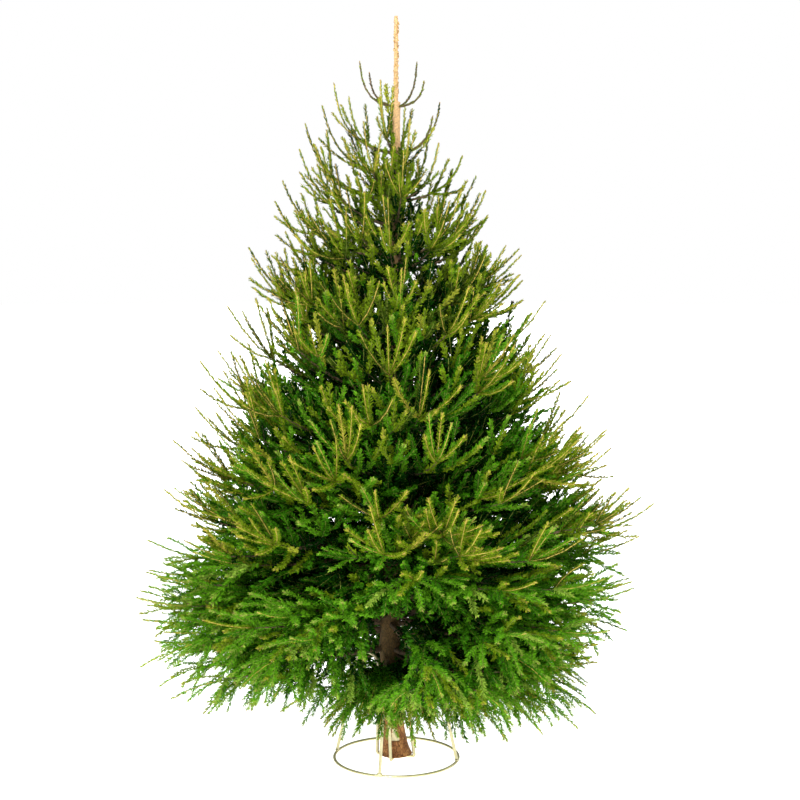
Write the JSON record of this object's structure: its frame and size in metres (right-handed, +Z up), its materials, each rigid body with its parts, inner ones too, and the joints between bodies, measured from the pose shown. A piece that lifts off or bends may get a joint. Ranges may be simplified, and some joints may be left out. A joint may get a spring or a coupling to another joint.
{
  "type": "christmas tree",
  "caption": "Cut spruce tree with tiered boughs of needles on a tapering trunk, standing in a round bent-wire stand.",
  "frame": {"origin": "on the floor, under the middle of the tree's whole outline", "axes": "+Z up along the trunk, +X to the right and -Y towards the viewer, as in the reference view"},
  "size_m": [1.4822, 1.414, 2.1],
  "materials": {
    "bark": "matt",
    "needles": "satin",
    "wire": "satin"
  },
  "bodies": {
    "root": {"trunk": "bark", "foliage_1_1": "needles", "foliage_1_2": "needles", "foliage_2_1": "needles", "foliage_2_2": "needles", "foliage_2_3": "needles", "foliage_3_1": "needles", "foliage_3_2": "needles", "foliage_3_3": "needles", "foliage_4_1": "needles", "foliage_4_2": "needles", "foliage_4_3": "needles", "foliage_5_1": "needles", "foliage_5_2": "needles", "foliage_5_3": "needles", "foliage_5_4": "needles", "foliage_6_1": "needles", "foliage_6_2": "needles", "foliage_6_3": "needles", "foliage_6_4": "needles", "foliage_7_1": "needles", "foliage_7_2": "needles", "foliage_7_3": "needles", "foliage_7_4": "needles", "foliage_7_5": "needles", "bough_8_1": "bark", "foliage_8_1": "needles", "bough_8_2": "bark", "foliage_8_2": "needles", "bough_8_3": "bark", "foliage_8_3": "needles", "bough_8_4": "bark", "foliage_8_4": "needles", "bough_8_5": "bark", "foliage_8_5": "needles", "bough_9_1": "bark", "foliage_9_1": "needles", "bough_9_2": "bark", "foliage_9_2": "needles", "bough_9_3": "bark", "foliage_9_3": "needles", "bough_9_4": "bark", "foliage_9_4": "needles", "bough_9_5": "bark", "foliage_9_5": "needles", "bough_10_1": "bark", "foliage_10_1": "needles", "bough_10_2": "bark", "foliage_10_2": "needles", "bough_10_3": "bark", "foliage_10_3": "needles", "bough_10_4": "bark", "foliage_10_4": "needles", "stand_ring": "wire", "stand_wire_1": "wire", "stand_wire_2": "wire", "stand_wire_3": "wire", "stand_wire_4": "wire"}
  },
  "joints": []
}
